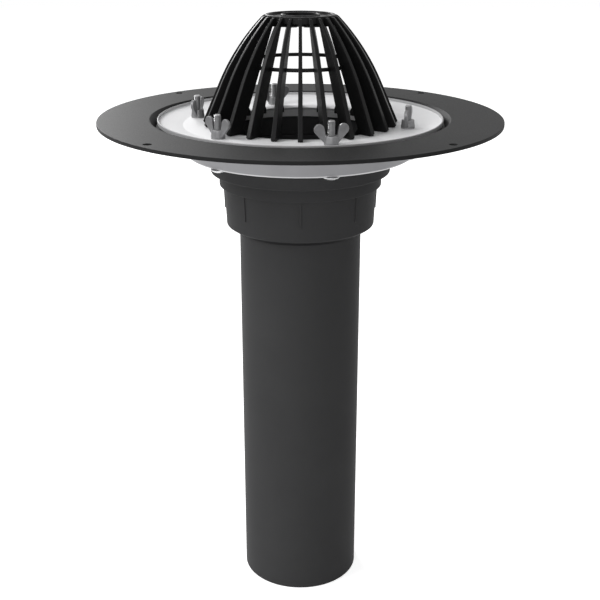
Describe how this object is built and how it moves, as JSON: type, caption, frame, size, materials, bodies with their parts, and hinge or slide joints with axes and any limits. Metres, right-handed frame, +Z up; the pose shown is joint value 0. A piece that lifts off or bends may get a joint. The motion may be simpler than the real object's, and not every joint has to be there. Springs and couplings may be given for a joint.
{
  "type": "flat roof drain",
  "caption": "Vertical flat roof drain: finned leaf dome on a clamp ring held by wing nuts, a wide roof flange, a metal dish, a stepped body with a socket, and an outlet pipe.",
  "frame": {"origin": "on the drain's axis, at the flange's underside, the plane that lies on the roof deck (the centre of the fixing holes' circle)", "axes": "+Z up along the drain's axis, towards the dome; the outlet pipe runs to -Z"},
  "size_m": [0.354, 0.354, 0.54],
  "materials": {
    "dome_plastic": "black moulded plastic, slightly glossy",
    "ring_metal": "pale satin metal",
    "flange_plastic": "dark grey satin plastic",
    "dish_metal": "light grey satin metal",
    "pipe_plastic": "dark grey moulded plastic",
    "rubber": "matt black rubber",
    "zinc": "zinc-plated steel",
    "nut_metal": "zinc-plated cast steel"
  },
  "bodies": {
    "root": {"dome_strainer": "dome_plastic", "clamp_ring": "ring_metal", "flange_plate": "flange_plastic", "base_gasket": "rubber", "support_dish": "dish_metal", "drain_body": "pipe_plastic", "body_seal": "rubber", "outlet_socket": "pipe_plastic", "pipe_seal": "rubber", "outlet_pipe": "pipe_plastic", "clamp_bolt_1": "zinc", "clamp_bolt_2": "zinc", "clamp_bolt_3": "zinc", "clamp_bolt_4": "zinc", "clamp_bolt_5": "zinc", "clamp_bolt_6": "zinc"},
    "washer_1": {"washer_1": "zinc"},
    "wing_nut_1": {"wing_nut_1": "nut_metal"},
    "washer_2": {"washer_2": "zinc"},
    "wing_nut_2": {"wing_nut_2": "nut_metal"},
    "washer_3": {"washer_3": "zinc"},
    "wing_nut_3": {"wing_nut_3": "nut_metal"},
    "washer_4": {"washer_4": "zinc"},
    "wing_nut_4": {"wing_nut_4": "nut_metal"},
    "washer_5": {"washer_5": "zinc"},
    "wing_nut_5": {"wing_nut_5": "nut_metal"},
    "washer_6": {"washer_6": "zinc"},
    "wing_nut_6": {"wing_nut_6": "nut_metal"}
  },
  "joints": [
    {"name": "washer_1_rise", "type": "slide", "parent": "root", "child": "washer_1", "axis": [0, 0, 1], "range_m": [0, 0.0101]},
    {"name": "wing_nut_1_turn", "type": "hinge", "parent": "washer_1", "child": "wing_nut_1", "pos_m": [0.02474, -0.09234, 0], "axis": [0, 0, 1], "range_deg": [0, 3600]},
    {"name": "washer_2_rise", "type": "slide", "parent": "root", "child": "washer_2", "axis": [0, 0, 1], "range_m": [0, 0.0101]},
    {"name": "wing_nut_2_turn", "type": "hinge", "parent": "washer_2", "child": "wing_nut_2", "pos_m": [0.09234, -0.02474, 0], "axis": [0, 0, 1], "range_deg": [0, 3600]},
    {"name": "washer_3_rise", "type": "slide", "parent": "root", "child": "washer_3", "axis": [0, 0, 1], "range_m": [0, 0.0101]},
    {"name": "wing_nut_3_turn", "type": "hinge", "parent": "washer_3", "child": "wing_nut_3", "pos_m": [0.0676, 0.0676, 0], "axis": [0, 0, 1], "range_deg": [0, 3600]},
    {"name": "washer_4_rise", "type": "slide", "parent": "root", "child": "washer_4", "axis": [0, 0, 1], "range_m": [0, 0.0101]},
    {"name": "wing_nut_4_turn", "type": "hinge", "parent": "washer_4", "child": "wing_nut_4", "pos_m": [-0.02474, 0.09234, 0], "axis": [0, 0, 1], "range_deg": [0, 3600]},
    {"name": "washer_5_rise", "type": "slide", "parent": "root", "child": "washer_5", "axis": [0, 0, 1], "range_m": [0, 0.0101]},
    {"name": "wing_nut_5_turn", "type": "hinge", "parent": "washer_5", "child": "wing_nut_5", "pos_m": [-0.09234, 0.02474, 0], "axis": [0, 0, 1], "range_deg": [0, 3600]},
    {"name": "washer_6_rise", "type": "slide", "parent": "root", "child": "washer_6", "axis": [0, 0, 1], "range_m": [0, 0.0101]},
    {"name": "wing_nut_6_turn", "type": "hinge", "parent": "washer_6", "child": "wing_nut_6", "pos_m": [-0.0676, -0.0676, 0], "axis": [0, 0, 1], "range_deg": [0, 3600]}
  ],
  "couplings": [
    {"joint": "washer_1_rise", "follows": "wing_nut_1_turn", "m_per_rad": 0.00015915},
    {"joint": "washer_2_rise", "follows": "wing_nut_2_turn", "m_per_rad": 0.00015915},
    {"joint": "washer_3_rise", "follows": "wing_nut_3_turn", "m_per_rad": 0.00015915},
    {"joint": "washer_4_rise", "follows": "wing_nut_4_turn", "m_per_rad": 0.00015915},
    {"joint": "washer_5_rise", "follows": "wing_nut_5_turn", "m_per_rad": 0.00015915},
    {"joint": "washer_6_rise", "follows": "wing_nut_6_turn", "m_per_rad": 0.00015915}
  ]
}
